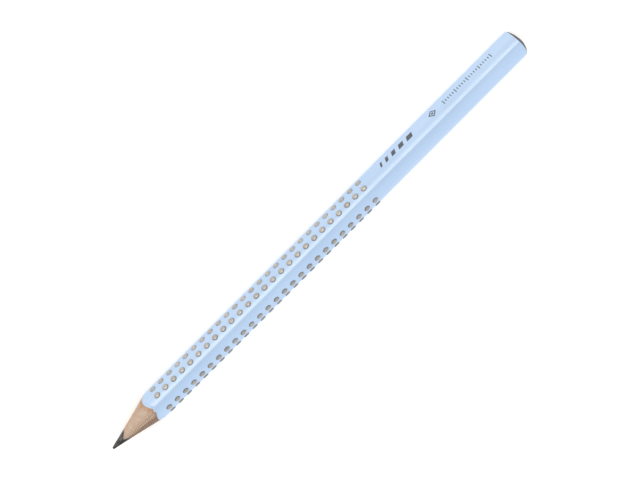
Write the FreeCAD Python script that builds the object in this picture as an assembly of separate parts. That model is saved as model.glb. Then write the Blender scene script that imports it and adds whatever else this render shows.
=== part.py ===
"""A jumbo three-sided graphite pencil, lying on one face.

Frame: millimetres, +X from the writing tip to the dipped end, +Z up. The origin is under the middle of
the pencil, on the surface that it lies on. The barrel's section is a triangle of three gently curved
faces joined by three round corners: one corner points up, and one face points down.
"""
import FreeCAD, Part
import math
import os

# Lengths along the pencil, all measured from the writing tip.
LENGTH = 175.0
RIM_FROM_TIP = 173.7

# Barrel section, at the outside of the lacquer.
FACE_FROM_AXIS = 4.18
FACE_RADIUS = 9.4
CORNER_RADIUS = 1.8
SIDES = 3
FACE_ANGLES = {"right": 30.0, "left": 150.0, "under": 270.0}

# Coating, core and glue joint.
LACQUER_THICKNESS = 0.25
LACQUER_EDGE_ROUND = 0.18
LEAD_RADIUS = 1.75
LEAD_BELOW_AXIS = 0.22
GLUE_THICKNESS = 0.1

# Ground point. Three rounded flanks meet in three ridges, which run to the barrel's corners. Each flank
# is round about an axis of its own, which drifts away from the flank between the tip and the barrel.
POINT_LENGTH = 18.9
FLANK_RADIUS_AT_TIP = 0.45
FLANK_RADIUS_HALFWAY = 3.8
FLANK_RADIUS_AT_BARREL = 7.35
FLANK_OFFSET_AT_TIP = 0.08
FLANK_OFFSET_AT_BARREL = 2.56
FLANK_LEAD_IN = 1.0
TIP_ROUND_RADIUS = 0.46

# Raised grip dots, in two rows on each face. A row is named after where it lies, and given by its face
# and by its side of that face's middle line: 1 is further round from +Y towards +Z. Each row is printed
# in a front and a rear group.
DOT_ROWS = {
    "right_upper": ("right", 1),
    "right_lower": ("right", -1),
    "left_upper": ("left", -1),
    "left_lower": ("left", 1),
    "under_right": ("under", 1),
    "under_left": ("under", -1),
}
DOTS_PER_GROUP = 13
DOT_GROUPS = ("front", "rear")
FIRST_DOT_FROM_TIP = 21.4
DOT_PITCH = 3.52
DOT_RADIUS = 1.05
DOT_HEIGHT = 0.33
DOT_CROWN_RADIUS = 4.0
DOT_EDGE_ROUND = 0.2
DOT_ROW_OFFSET = 1.8

# Domed end, dipped in thick paint.
DIP_INSET = 0.2
DIP_STEPS = 9
DIP_STEP_POWER = 1.5
DIP_TOP_SCALE = 0.12
DIP_FULLNESS = 0.7

# Stamped marks on the right-hand face: slanted bars, a hollow diamond with a spot, and a millimetre scale.
FOIL_THICKNESS = 0.04
BARS_FROM_TIP = 117.5
BAR_WIDTHS = (0.7, 1.1, 1.5, 1.9, 2.3)
BAR_GAP = 1.5
BAR_HEIGHT = 1.9
BAR_SLANT = 0.7
DIAMOND_FROM_TIP = 140.0
DIAMOND_REACH = 1.5
DIAMOND_HOLLOW_REACH = 1.0
DIAMOND_SPOT_RADIUS = 0.4
SCALE_FROM_TIP = 144.8
SCALE_TICKS = 21
SCALE_PITCH = 1.0
TICK_WIDTH = 0.28
SHORT_TICK = 1.0
LONG_TICK = 1.9
LONG_TICK_EVERY = 5

# Further than any cutting body has to reach, and as close as two edges that lie in one plane.
REACH = 40.0
TOUCH = 0.001

# Worked out from the sizes above.
X_TIP = -LENGTH / 2
X_RIM = X_TIP + RIM_FROM_TIP
DIP_HEIGHT = LENGTH - RIM_FROM_TIP
X_AXIS = FreeCAD.Vector(1, 0, 0)
FACE_CENTRE_OFFSET = FACE_RADIUS - FACE_FROM_AXIS
DOT_ROW_TILT = math.asin(DOT_ROW_OFFSET / FACE_RADIUS)
DOT_TOP = FACE_RADIUS + DOT_HEIGHT


def corner_centre_distance():
    """Distance from the pencil's axis to a corner arc's centre, so that it meets both faces tangentially."""
    spread = FACE_RADIUS - CORNER_RADIUS
    root = math.sqrt(4 * spread ** 2 - 3 * FACE_CENTRE_OFFSET ** 2)
    return (root - FACE_CENTRE_OFFSET) / 2


CORNER_CENTRE = corner_centre_distance()
DOT_CROWN_CENTRE = DOT_TOP - DOT_CROWN_RADIUS
AXIS_HEIGHT = DOT_CROWN_CENTRE * math.cos(DOT_ROW_TILT) + DOT_CROWN_RADIUS - FACE_CENTRE_OFFSET
AXIS_POINT = FreeCAD.Vector(0, 0, AXIS_HEIGHT)


def section_point(x, distance, degrees):
    """The point at x, at a distance from the pencil's axis, in a direction measured from +Y towards +Z."""
    angle = math.radians(degrees)
    return FreeCAD.Vector(x, distance * math.cos(angle), AXIS_HEIGHT + distance * math.sin(angle))


def offset_point(centre, distance, degrees):
    """The point at a distance from centre, in the section's plane."""
    angle = math.radians(degrees)
    return centre + FreeCAD.Vector(0, distance * math.cos(angle), distance * math.sin(angle))


def section_wire(x, inset=0.0, scale=1.0):
    """The barrel's outline at x: moved inwards by inset, then scaled about the axis."""
    face_radius = (FACE_RADIUS - inset) * scale
    corner_radius = (CORNER_RADIUS - inset) * scale
    face_centre = FACE_CENTRE_OFFSET * scale
    corner_centre = CORNER_CENTRE * scale
    half_face = math.degrees(math.atan2(
        CORNER_CENTRE * math.sin(math.pi / SIDES),
        CORNER_CENTRE * math.cos(math.pi / SIDES) + FACE_CENTRE_OFFSET,
    ))
    half_corner = 180.0 / SIDES - half_face
    edges = []
    for face in FACE_ANGLES.values():
        centre = section_point(x, -face_centre, face)
        corner = face + 180.0 / SIDES
        turn = section_point(x, corner_centre, corner)
        face_arc = [offset_point(centre, face_radius, face + part * half_face) for part in (-1, 0, 1)]
        corner_arc = [offset_point(turn, corner_radius, corner + part * half_corner) for part in (-1, 0, 1)]
        corner_arc[0] = face_arc[2]
        edges.append(Part.Arc(*face_arc).toShape())
        edges.append(Part.Arc(*corner_arc).toShape())
    return Part.Wire(Part.__sortEdges__(edges))


def barrel_prism(inset=0.0):
    """The whole barrel from the tip's plane to the rim, before its point is ground."""
    face = Part.Face(section_wire(X_TIP, inset))
    return face.extrude(X_AXIS * (X_RIM - X_TIP))


def profile_point(from_tip, radius):
    """A point of a turned profile, in the plane of +X and +Z."""
    return FreeCAD.Vector(X_TIP + from_tip, 0, AXIS_HEIGHT + radius)


def turned_body(edges, end_from_tip):
    """The body of revolution under a profile: edges that follow each other, then a wide cylinder behind."""
    start = edges[0].valueAt(edges[0].FirstParameter)
    shoulder = edges[-1].valueAt(edges[-1].LastParameter)
    path = [
        shoulder,
        FreeCAD.Vector(shoulder.x, 0, AXIS_HEIGHT + REACH),
        profile_point(end_from_tip, REACH),
        profile_point(end_from_tip, 0),
        FreeCAD.Vector(start.x, 0, AXIS_HEIGHT),
        start,
    ]
    runs = [Part.makeLine(a, b) for a, b in zip(path, path[1:]) if a != b]
    return Part.Face(Part.Wire(edges + runs)).revolve(AXIS_POINT, X_AXIS, 360)


def flank_body(face_angle):
    """Everything under one flank of the point, which follows the barrel face at face_angle."""
    lead_in = Part.makeLine(
        profile_point(-FLANK_LEAD_IN, FLANK_RADIUS_AT_TIP / 2),
        profile_point(0, FLANK_RADIUS_AT_TIP),
    )
    ground = Part.Arc(
        profile_point(0, FLANK_RADIUS_AT_TIP),
        profile_point(POINT_LENGTH / 2, FLANK_RADIUS_HALFWAY),
        profile_point(POINT_LENGTH, FLANK_RADIUS_AT_BARREL),
    ).toShape()
    body = turned_body([lead_in, ground], LENGTH + REACH)
    body.translate(FreeCAD.Vector(0, 0, -FLANK_OFFSET_AT_TIP))
    drift = math.degrees(math.atan((FLANK_OFFSET_AT_BARREL - FLANK_OFFSET_AT_TIP) / POINT_LENGTH))
    body.rotate(profile_point(0, -FLANK_OFFSET_AT_TIP), FreeCAD.Vector(0, 1, 0), drift)
    body.rotate(AXIS_POINT, X_AXIS, face_angle - 90.0)
    return body


def blunt_tip_body():
    """The body that rounds off the tip, and leaves the rest of the point free."""
    tip_round = Part.Arc(
        profile_point(0, 0),
        profile_point(TIP_ROUND_RADIUS * (1 - math.sqrt(0.5)), TIP_ROUND_RADIUS * math.sqrt(0.5)),
        profile_point(TIP_ROUND_RADIUS, TIP_ROUND_RADIUS),
    ).toShape()
    return turned_body([tip_round], RIM_FROM_TIP)


def ground_point():
    """The shape that every piece of the barrel is cut to when the point is ground."""
    envelope = blunt_tip_body()
    for face_angle in FACE_ANGLES.values():
        envelope = envelope.common(flank_body(face_angle))
    return envelope


def make_lead(envelope):
    """The round graphite core, from the blunt tip to the rim."""
    start = FreeCAD.Vector(X_TIP, 0, AXIS_HEIGHT - LEAD_BELOW_AXIS)
    return Part.makeCylinder(LEAD_RADIUS, X_RIM - X_TIP, start, X_AXIS).common(envelope)


def make_slat(core, lead, side):
    """One grooved half of the wood, on the +Y side if side is 1 and on the -Y side if it is -1."""
    low_y = GLUE_THICKNESS / 2 if side > 0 else -GLUE_THICKNESS / 2 - REACH
    half = Part.makeBox(LENGTH, REACH, 2 * REACH, FreeCAD.Vector(X_TIP, low_y, AXIS_HEIGHT - REACH))
    return core.common(half).cut(lead)


def make_glue_line(core, lead):
    """The film of glue between the two slats, above and below the lead."""
    corner = FreeCAD.Vector(X_TIP, -GLUE_THICKNESS / 2, AXIS_HEIGHT - REACH)
    film = Part.makeBox(LENGTH, GLUE_THICKNESS, 2 * REACH, corner)
    return core.common(film).cut(lead)


def make_lacquer_coat(envelope):
    """The coloured coat round the wood, cut off by the ground point and rounded at the rim."""
    outside = barrel_prism()
    rim_edges = [edge for edge in outside.Edges if abs(edge.BoundBox.XMin - X_RIM) < TOUCH]
    outside = outside.makeFillet(LACQUER_EDGE_ROUND, rim_edges)
    return outside.cut(barrel_prism(LACQUER_THICKNESS)).common(envelope)


def make_end_dip():
    """The dome of thick paint that seals the end of the barrel."""
    wires = []
    for step in range(DIP_STEPS):
        share = step / (DIP_STEPS - 1)
        scale = 1.0 - (1.0 - DIP_TOP_SCALE) * share ** DIP_STEP_POWER
        height = DIP_HEIGHT * (1.0 - scale ** 2) ** DIP_FULLNESS
        height /= (1.0 - DIP_TOP_SCALE ** 2) ** DIP_FULLNESS
        wires.append(section_wire(X_RIM + height, DIP_INSET, scale))
    return Part.makeLoft(wires, True, False)


def face_axis_point(face_angle):
    """A point on the axis of the cylinder that a barrel face is part of."""
    return section_point(X_TIP, -FACE_CENTRE_OFFSET, face_angle)


def make_first_dot(face_angle, side):
    """The dot nearest the tip in a row: a round button with a crowned top and a rounded edge."""
    axis_point = face_axis_point(face_angle)
    tilt = side * math.degrees(DOT_ROW_TILT)
    foot = FreeCAD.Vector(X_TIP + FIRST_DOT_FROM_TIP, axis_point.y, axis_point.z)
    stem = Part.makeCylinder(DOT_RADIUS, DOT_TOP, foot)
    crown_centre = foot + FreeCAD.Vector(0, 0, DOT_CROWN_CENTRE)
    button = stem.common(Part.makeSphere(DOT_CROWN_RADIUS, crown_centre))
    top_edges = [edge for edge in button.Edges if edge.BoundBox.ZMin > axis_point.z + FACE_RADIUS]
    button = button.makeFillet(DOT_EDGE_ROUND, top_edges)
    button.rotate(foot, X_AXIS, face_angle - 90.0 + tilt)
    return button.cut(Part.makeCylinder(FACE_RADIUS, LENGTH, axis_point, X_AXIS))


def make_dots(face_angle, side, group):
    """One group of a row of raised dots: group 0 is the front one."""
    first = make_first_dot(face_angle, side)
    dots = []
    for index in range(group * DOTS_PER_GROUP, (group + 1) * DOTS_PER_GROUP):
        dot = first.copy()
        dot.translate(X_AXIS * DOT_PITCH * index)
        dots.append(dot)
    return Part.makeCompound(dots)


def mark_block(outline):
    """A block that stands on a flat outline, given as a face in the plane of +X and +Y over the origin."""
    outline.translate(FreeCAD.Vector(0, 0, AXIS_HEIGHT))
    block = outline.extrude(FreeCAD.Vector(0, 0, REACH))
    block.rotate(AXIS_POINT, X_AXIS, FACE_ANGLES["right"] - 90.0)
    return block


def slanted_bar(from_tip, width, height, slant):
    """A bar across the face: a parallelogram that leans towards the dipped end by slant."""
    x = X_TIP + from_tip
    corners = [
        FreeCAD.Vector(x, height / 2, 0),
        FreeCAD.Vector(x + width, height / 2, 0),
        FreeCAD.Vector(x + width + slant, -height / 2, 0),
        FreeCAD.Vector(x + slant, -height / 2, 0),
    ]
    return Part.Face(Part.makePolygon(corners + corners[:1]))


def disc(from_tip, radius):
    """A round outline centred on the face."""
    return Part.Face(Part.Wire(Part.makeCircle(radius, FreeCAD.Vector(X_TIP + from_tip, 0, 0))))


def diamond(from_tip, reach):
    """A square outline centred on the face and standing on its corner."""
    steps = ((-reach, 0), (0, reach), (reach, 0), (0, -reach), (-reach, 0))
    return Part.Face(Part.makePolygon([FreeCAD.Vector(X_TIP + from_tip + x, y, 0) for x, y in steps]))


def mark_outlines():
    """The outlines of all the stamped marks, in order from the tip."""
    outlines = []
    from_tip = BARS_FROM_TIP
    for width in BAR_WIDTHS:
        outlines.append(slanted_bar(from_tip, width, BAR_HEIGHT, BAR_SLANT))
        from_tip += width + BAR_GAP
    hollow = diamond(DIAMOND_FROM_TIP, DIAMOND_HOLLOW_REACH)
    outlines.append(diamond(DIAMOND_FROM_TIP, DIAMOND_REACH).cut(hollow))
    outlines.append(disc(DIAMOND_FROM_TIP, DIAMOND_SPOT_RADIUS))
    for index in range(SCALE_TICKS):
        height = LONG_TICK if index % LONG_TICK_EVERY == 0 else SHORT_TICK
        tick_from_tip = SCALE_FROM_TIP + index * SCALE_PITCH - TICK_WIDTH / 2
        outlines.append(slanted_bar(tick_from_tip, TICK_WIDTH, height, 0.0))
    return outlines


def make_foil_marks():
    """The stamped marks: a film of foil on the face wherever one of the outlines covers it."""
    axis_point = face_axis_point(FACE_ANGLES["right"])
    film = Part.makeCylinder(FACE_RADIUS + FOIL_THICKNESS, LENGTH, axis_point, X_AXIS)
    film = film.cut(Part.makeCylinder(FACE_RADIUS, LENGTH, axis_point, X_AXIS))
    marks = [mark_block(outline).common(film) for outline in mark_outlines()]
    return Part.makeCompound([solid for mark in marks for solid in mark.Solids])


def build_nodes():
    """Every piece of the pencil, by node name."""
    envelope = ground_point()
    core = barrel_prism(LACQUER_THICKNESS).common(envelope)
    lead = make_lead(envelope)
    nodes = {
        "lead": lead,
        "slat_right": make_slat(core, lead, 1),
        "slat_left": make_slat(core, lead, -1),
        "glue_line": make_glue_line(core, lead),
        "lacquer_coat": make_lacquer_coat(envelope),
        "end_dip": make_end_dip(),
        "foil_marks": make_foil_marks(),
    }
    for row_name, (face_name, side) in DOT_ROWS.items():
        for group, group_name in enumerate(DOT_GROUPS):
            node = "_".join(("grip_dots", row_name, group_name))
            nodes[node] = make_dots(FACE_ANGLES[face_name], side, group)
    return nodes


def main():
    os.makedirs("parts", exist_ok=True)
    for name, shape in build_nodes().items():
        shape.exportStep("parts/" + name + ".step")
        box = shape.BoundBox
        print(
            f"{name}: {len(shape.Solids)} solids, {shape.Volume:.2f} mm3, valid {shape.isValid()},"
            f" x {box.XMin:.2f}..{box.XMax:.2f} y {box.YMin:.2f}..{box.YMax:.2f}"
            f" z {box.ZMin:.2f}..{box.ZMax:.2f}"
        )


main()
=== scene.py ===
"""The looks of a jumbo graphite pencil with grip dots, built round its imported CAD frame.

Lengths in this script are millimetres until a mesh, lamp or camera is made. The frame is the CAD
model's: +X runs from the writing tip to the dipped end, +Z is up, and the pencil lies on one face. A
direction round the pencil is an angle in degrees from +Y towards +Z, and "from_tip" is a distance along
the pencil.
"""
import math
import random

import bmesh
import bpy
import numpy as np
from mathutils import Matrix, Vector, noise


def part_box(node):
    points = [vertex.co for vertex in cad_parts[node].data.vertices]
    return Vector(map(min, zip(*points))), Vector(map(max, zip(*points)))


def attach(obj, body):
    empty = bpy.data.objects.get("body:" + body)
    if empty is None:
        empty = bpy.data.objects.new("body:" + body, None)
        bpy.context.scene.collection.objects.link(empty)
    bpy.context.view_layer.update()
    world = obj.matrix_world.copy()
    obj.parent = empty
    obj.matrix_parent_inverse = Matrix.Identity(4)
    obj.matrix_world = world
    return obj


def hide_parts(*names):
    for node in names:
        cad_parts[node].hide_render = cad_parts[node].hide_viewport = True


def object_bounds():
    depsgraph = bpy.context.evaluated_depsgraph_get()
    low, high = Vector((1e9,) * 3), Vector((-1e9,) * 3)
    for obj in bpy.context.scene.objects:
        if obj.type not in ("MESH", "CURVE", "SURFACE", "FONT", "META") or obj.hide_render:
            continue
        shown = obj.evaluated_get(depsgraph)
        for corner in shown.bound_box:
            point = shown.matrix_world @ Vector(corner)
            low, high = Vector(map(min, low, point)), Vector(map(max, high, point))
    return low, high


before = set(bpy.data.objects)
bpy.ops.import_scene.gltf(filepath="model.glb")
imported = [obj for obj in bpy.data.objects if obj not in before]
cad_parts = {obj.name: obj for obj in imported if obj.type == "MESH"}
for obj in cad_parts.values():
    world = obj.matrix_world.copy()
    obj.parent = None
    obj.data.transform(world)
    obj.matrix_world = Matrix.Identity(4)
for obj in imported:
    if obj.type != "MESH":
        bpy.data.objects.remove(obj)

CAD_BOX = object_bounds()
MM = 0.001
SEED = 7

# Where the frame has the pencil, read from the lead, which runs from the tip to the rim.
LEAD_LOW, LEAD_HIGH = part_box("lead")
LEAD_BELOW_AXIS = 0.22
X_TIP = LEAD_LOW.x / MM
X_RIM = LEAD_HIGH.x / MM
AXIS_HEIGHT = (LEAD_LOW.z + LEAD_HIGH.z) / 2 / MM + LEAD_BELOW_AXIS
LEAD_RADIUS = (LEAD_HIGH.z - LEAD_LOW.z) / 2 / MM
RIM_FROM_TIP = X_RIM - X_TIP

# Barrel section: three gently curved faces and three round corners.
SIDES = 3
FACE_SPAN = 360.0 / SIDES
FACE_ANGLES = {"right": 30.0, "left": 150.0, "under": 270.0}
UPWARDS = 90.0
DOWNWARDS = -90.0
FACE_FROM_AXIS = 4.18
FACE_RADIUS = 9.4
CORNER_RADIUS = 1.8
FACE_CENTRE_OFFSET = FACE_RADIUS - FACE_FROM_AXIS
CORNER_CENTRE = (
    math.sqrt(4 * (FACE_RADIUS - CORNER_RADIUS) ** 2 - 3 * FACE_CENTRE_OFFSET ** 2) - FACE_CENTRE_OFFSET
) / 2
HALF_FACE = math.atan2(
    CORNER_CENTRE * math.sin(math.pi / SIDES),
    CORNER_CENTRE * math.cos(math.pi / SIDES) + FACE_CENTRE_OFFSET,
)

# Coat, glue and ground point.
LACQUER_THICKNESS = 0.25
RIM_ROUND = 0.18
LIP_ROUND = 0.07
GLUE_THICKNESS = 0.1
POINT_LENGTH = 18.9
FLANK_RADIUS_AT_TIP = 0.45
FLANK_RADIUS_HALFWAY = 3.8
FLANK_RADIUS_AT_BARREL = 7.35
FLANK_OFFSET_AT_TIP = 0.08
FLANK_OFFSET_AT_BARREL = 2.56
FLANK_TILT = math.atan((FLANK_OFFSET_AT_BARREL - FLANK_OFFSET_AT_TIP) / POINT_LENGTH)
TIP_ROUND_RADIUS = 0.46

# For searches by halving: a distance well outside the pencil, and how often the range is halved.
OUTSIDE = 10.0
HALVINGS = 40

# Raised grip dots: two rows on each face, each in a front and a rear group. A row has its face, and the side
# of the face that it is on: 1 towards larger angles, -1 towards smaller ones.
DOT_ROWS = {
    "right_upper": ("right", 1),
    "right_lower": ("right", -1),
    "left_upper": ("left", -1),
    "left_lower": ("left", 1),
    "under_right": ("under", 1),
    "under_left": ("under", -1),
}
DOT_GROUPS = ("front", "rear")
DOTS_PER_GROUP = 13
DOT_RADIUS = 1.05
DOT_HEIGHT = 0.33
DOT_PITCH = 3.52
DOT_ROW_OFFSET = 1.8
DOT_ROW_TILT = math.asin(DOT_ROW_OFFSET / FACE_RADIUS)

# Domed end: how far its foot is inside the barrel's outline, the power in its sides' curve (0.5 makes an
# ellipse, and a larger one is less full), and the size of its even top as a share of the foot's.
DIP_INSET = 0.2
DIP_FULLNESS = 0.7
DIP_TOP_SCALE = 0.12

# Stamped marks on the right-hand face.
BARS_FROM_TIP = 117.5
BAR_WIDTHS = (0.7, 1.1, 1.5, 1.9, 2.3)
BAR_GAP = 1.5
BAR_HEIGHT = 1.9
BAR_SLANT = 0.7
DIAMOND_FROM_TIP = 140.0
DIAMOND_REACH = 1.5
DIAMOND_HOLLOW_REACH = 1.0
DIAMOND_SPOT_RADIUS = 0.4
SCALE_FROM_TIP = 144.8
SCALE_TICKS = 21
SCALE_PITCH = 1.0
TICK_WIDTH = 0.28
SHORT_TICK = 1.0
LONG_TICK = 1.9
LONG_TICK_EVERY = 5
FOIL_HEIGHT = 0.035
FOIL_DEPTH = 0.02


# ---------------------------------------------------------------- shape of the pencil

def off_face(angle):
    """The angle in radians from the middle of the nearest face."""
    half = FACE_SPAN / 2
    return np.radians((angle - FACE_ANGLES["right"] + half) % FACE_SPAN - half)


def barrel_radius(angle, inset=0.0):
    """Distance from the pencil's axis to the barrel's outline, moved inwards by inset."""
    turn = off_face(angle)
    face_radius = FACE_RADIUS - inset
    corner_radius = CORNER_RADIUS - inset
    face_end = math.atan2(
        face_radius * math.sin(HALF_FACE),
        face_radius * math.cos(HALF_FACE) - FACE_CENTRE_OFFSET,
    )
    across = FACE_CENTRE_OFFSET * np.sin(turn)
    to_face = np.sqrt(face_radius ** 2 - across ** 2) - FACE_CENTRE_OFFSET * np.cos(turn)
    off_corner = math.pi / SIDES - np.abs(turn)
    beside = CORNER_CENTRE * np.sin(off_corner)
    room = np.maximum(corner_radius ** 2 - beside ** 2, 0.0)
    to_corner = CORNER_CENTRE * np.cos(off_corner) + np.sqrt(room)
    return np.where(np.abs(turn) <= face_end, to_face, to_corner)


def lead_outline(angle):
    """Distance from the pencil's axis to the surface of the lead, which lies a little below the axis."""
    turn = np.radians(angle)
    below = LEAD_BELOW_AXIS * np.sin(turn)
    beside = LEAD_BELOW_AXIS * np.cos(turn)
    return np.sqrt(LEAD_RADIUS ** 2 - beside ** 2) - below


def circle_through(first, second, third):
    """Centre and radius of the circle through three points."""
    (x1, y1), (x2, y2), (x3, y3) = first, second, third
    scale = 2 * (x1 * (y2 - y3) + x2 * (y3 - y1) + x3 * (y1 - y2))
    s1, s2, s3 = x1 ** 2 + y1 ** 2, x2 ** 2 + y2 ** 2, x3 ** 2 + y3 ** 2
    x = (s1 * (y2 - y3) + s2 * (y3 - y1) + s3 * (y1 - y2)) / scale
    y = (s1 * (x3 - x2) + s2 * (x1 - x3) + s3 * (x2 - x1)) / scale
    return x, y, math.hypot(x1 - x, y1 - y)


FLANK_CENTRE_X, FLANK_CENTRE_Y, FLANK_HOLLOW = circle_through(
    (0.0, FLANK_RADIUS_AT_TIP),
    (POINT_LENGTH / 2, FLANK_RADIUS_HALFWAY),
    (POINT_LENGTH, FLANK_RADIUS_AT_BARREL),
)


def flank_room(from_tip, distance, angle):
    """How far a point lies inside the nearest flank of the ground point: negative outside it."""
    turn = off_face(angle)
    up = distance * np.cos(turn) + FLANK_OFFSET_AT_TIP
    along = from_tip * math.cos(FLANK_TILT) - up * math.sin(FLANK_TILT)
    above = from_tip * math.sin(FLANK_TILT) + up * math.cos(FLANK_TILT)
    flank = FLANK_CENTRE_Y - np.sqrt(FLANK_HOLLOW ** 2 - (along - FLANK_CENTRE_X) ** 2)
    return flank - np.hypot(above, distance * np.sin(turn))


def flank_radius(from_tip, angle):
    """Distance from the pencil's axis to the ground flanks, found by halving."""
    low = np.zeros(np.broadcast(from_tip, angle).shape)
    high = low + OUTSIDE
    for _ in range(HALVINGS):
        middle = (low + high) / 2
        inside = flank_room(from_tip, middle, angle) > 0
        low = np.where(inside, middle, low)
        high = np.where(inside, high, middle)
    return low


def where_ground(distance, angle):
    """How far from the tip the ground point is as wide as distance, in each direction, found by halving."""
    low = np.zeros(np.broadcast(distance, angle).shape)
    high = low + POINT_LENGTH + LACQUER_THICKNESS
    for _ in range(HALVINGS):
        middle = (low + high) / 2
        inside = flank_room(middle, distance, angle) > 0
        high = np.where(inside, middle, high)
        low = np.where(inside, low, middle)
    return high


def in_space(from_tip, angle, distance):
    """Points in the frame, from how far along, in which direction and how far off the axis they are."""
    turn = np.radians(angle)
    from_tip, turn, distance = np.broadcast_arrays(from_tip, turn, distance)
    return np.stack([
        X_TIP + from_tip,
        distance * np.cos(turn),
        AXIS_HEIGHT + distance * np.sin(turn),
    ], axis=-1)


def on_face(face, from_tip, across, height):
    """Points over a face, so far from its middle line, towards larger angles, and so high off its surface."""
    turn = across / FACE_RADIUS
    distance = FACE_RADIUS + height
    up = distance * np.cos(turn) - FACE_CENTRE_OFFSET
    side = distance * np.sin(turn)
    angle = FACE_ANGLES[face] + np.degrees(np.arctan2(side, up))
    return in_space(from_tip, angle, np.hypot(up, side))


# ---------------------------------------------------------------- meshes

# In metres: points closer than this are merged.
MERGE_DISTANCE = 2e-7
SHARP_ANGLE = math.radians(38.0)

# How far each seed moves the noise along X, Y and Z, so that no two seeds look alike.
SEED_SHIFT = (13.1, 7.7, 3.3)


def loft_faces(rows, columns, joined, start):
    """Quads through rows of points that each close on themselves. If joined, the last row meets the first."""
    faces = []
    for row in range(rows if joined else rows - 1):
        here = start + row * columns
        there = start + (row + 1) % rows * columns
        for column in range(columns):
            beside = (column + 1) % columns
            faces.append((here + column, here + beside, there + beside, there + column))
    return faces


def new_piece(name, lofts, material, replaced, joined=False, facts=None):
    """A closed mesh of one or more lofts, each an array of rows, columns and coordinates.

    A row may shrink to a point or fold flat, and its double points are merged. facts are named numbers for
    each point, in arrays of rows and columns, which the material reads.
    """
    points = []
    faces = []
    for loft in lofts:
        rows, columns, _ = loft.shape
        faces += loft_faces(rows, columns, joined, sum(len(group) for group in points))
        points.append(loft.reshape(-1, 3))
    mesh = bpy.data.meshes.new(name)
    mesh.from_pydata((np.concatenate(points) * MM).tolist(), [], faces)
    for fact, values in (facts or {}).items():
        layer = mesh.attributes.new(fact, "FLOAT", "POINT")
        flat = np.concatenate([part.reshape(-1) for part in values])
        layer.data.foreach_set("value", flat.astype(np.float32))
    shaped = bmesh.new()
    shaped.from_mesh(mesh)
    bmesh.ops.remove_doubles(shaped, verts=shaped.verts, dist=MERGE_DISTANCE)
    bmesh.ops.dissolve_degenerate(shaped, edges=shaped.edges, dist=MERGE_DISTANCE)
    bmesh.ops.recalc_face_normals(shaped, faces=shaped.faces)
    shaped.to_mesh(mesh)
    shaped.free()
    mesh.shade_smooth()
    mesh.set_sharp_from_angle(angle=SHARP_ANGLE)
    mesh.materials.append(material)
    piece = bpy.data.objects.new(name, mesh)
    bpy.context.scene.collection.objects.link(piece)
    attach(piece, "root")
    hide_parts(replaced)


def crowded_shares(count, crowding):
    """count numbers from 0 to 1: closer together near 0 if crowding is over 1, near 1 if it is under 1."""
    return np.linspace(0.0, 1.0, count) ** crowding


def around(count):
    """count directions, evenly spaced all the way round."""
    return np.arange(count) * 360.0 / count


def roughness_at(points, size, seed):
    """Smooth noise between -1 and 1 at points, with features of about size."""
    shift = Vector([seed * step for step in SEED_SHIFT])
    flat = points.reshape(-1, 3) / size
    values = [noise.noise(Vector(point) + shift) for point in flat]
    return np.array(values).reshape(points.shape[:-1])


# ---------------------------------------------------------------- node helpers

# The numbered sockets of a Mix node that mixes colours.
MIX_FACTOR = 0
MIX_BELOW = 6
MIX_ABOVE = 7
MIX_RESULT = 2
OPAQUE = 1.0

# Most values of a noise field lie in this range.
MOST_NOISE = (0.3, 0.7)


def new_material(name):
    """A material with a principled shader, and its node tree."""
    material = bpy.data.materials.new(name)
    material.use_nodes = True
    tree = material.node_tree
    return material, tree, tree.nodes["Principled BSDF"]


def plug(tree, value, socket):
    """Feeds an input from another node's output, or sets it to a number, a vector or a colour."""
    if isinstance(value, bpy.types.NodeSocket):
        tree.links.new(value, socket)
    elif socket.type == "RGBA":
        socket.default_value = (*value, OPAQUE)
    else:
        socket.default_value = value


def node(tree, kind, inputs, **settings):
    """A new node with its settings, and with what its inputs get, by their names or numbers."""
    made = tree.nodes.new(kind)
    for setting, value in settings.items():
        setattr(made, setting, value)
    for socket, value in inputs.items():
        plug(tree, value, made.inputs[socket])
    return made


def noise_field(tree, per_metre, detail=3.0, rough=0.55):
    """Noise in the frame's own coordinates, with a number of features per metre along X, Y and Z."""
    source = node(tree, "ShaderNodeTexCoord", {})
    scaled = node(tree, "ShaderNodeMapping", {"Vector": source.outputs["Object"], "Scale": per_metre})
    field = node(tree, "ShaderNodeTexNoise", {
        "Vector": scaled.outputs["Vector"], "Scale": 1.0, "Detail": detail, "Roughness": rough,
    })
    return field.outputs["Fac"]


def fact_field(tree, fact):
    """A number that the mesh carries for each point."""
    return node(tree, "ShaderNodeAttribute", {}, attribute_name=fact).outputs["Fac"]


def spread(tree, value, taken, given=(0.0, 1.0)):
    """Smoothly stretches a value in the range taken to the range given, and stops at its ends."""
    made = node(tree, "ShaderNodeMapRange", {
        "Value": value, "From Min": taken[0], "From Max": taken[1], "To Min": given[0], "To Max": given[1],
    }, interpolation_type="SMOOTHSTEP")
    return made.outputs["Result"]


def colour_mix(tree, factor, below, above):
    """Mixes two colours: the first where the factor is 0, the second where it is 1."""
    made = node(tree, "ShaderNodeMix", {
        MIX_FACTOR: factor, MIX_BELOW: below, MIX_ABOVE: above,
    }, data_type="RGBA", blend_type="MIX")
    return made.outputs[MIX_RESULT]


def arithmetic(tree, operation, *values):
    """The result of a Math node on one or two values."""
    return node(tree, "ShaderNodeMath", dict(enumerate(values)), operation=operation).outputs["Value"]


def bump(tree, shader, height, strength, depth, under=None):
    """Bumps the shader's surface by a height field depth millimetres deep, on top of the bumps under it."""
    made = node(tree, "ShaderNodeBump", {"Height": height, "Strength": strength, "Distance": depth * MM})
    if under is not None:
        plug(tree, under, made.inputs["Normal"])
    plug(tree, made.outputs["Normal"], shader.inputs["Normal"])
    return made.outputs["Normal"]


# ---------------------------------------------------------------- materials
# Colours are linear red, green and blue. Noise sizes are features per metre along X, Y and Z.

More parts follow.
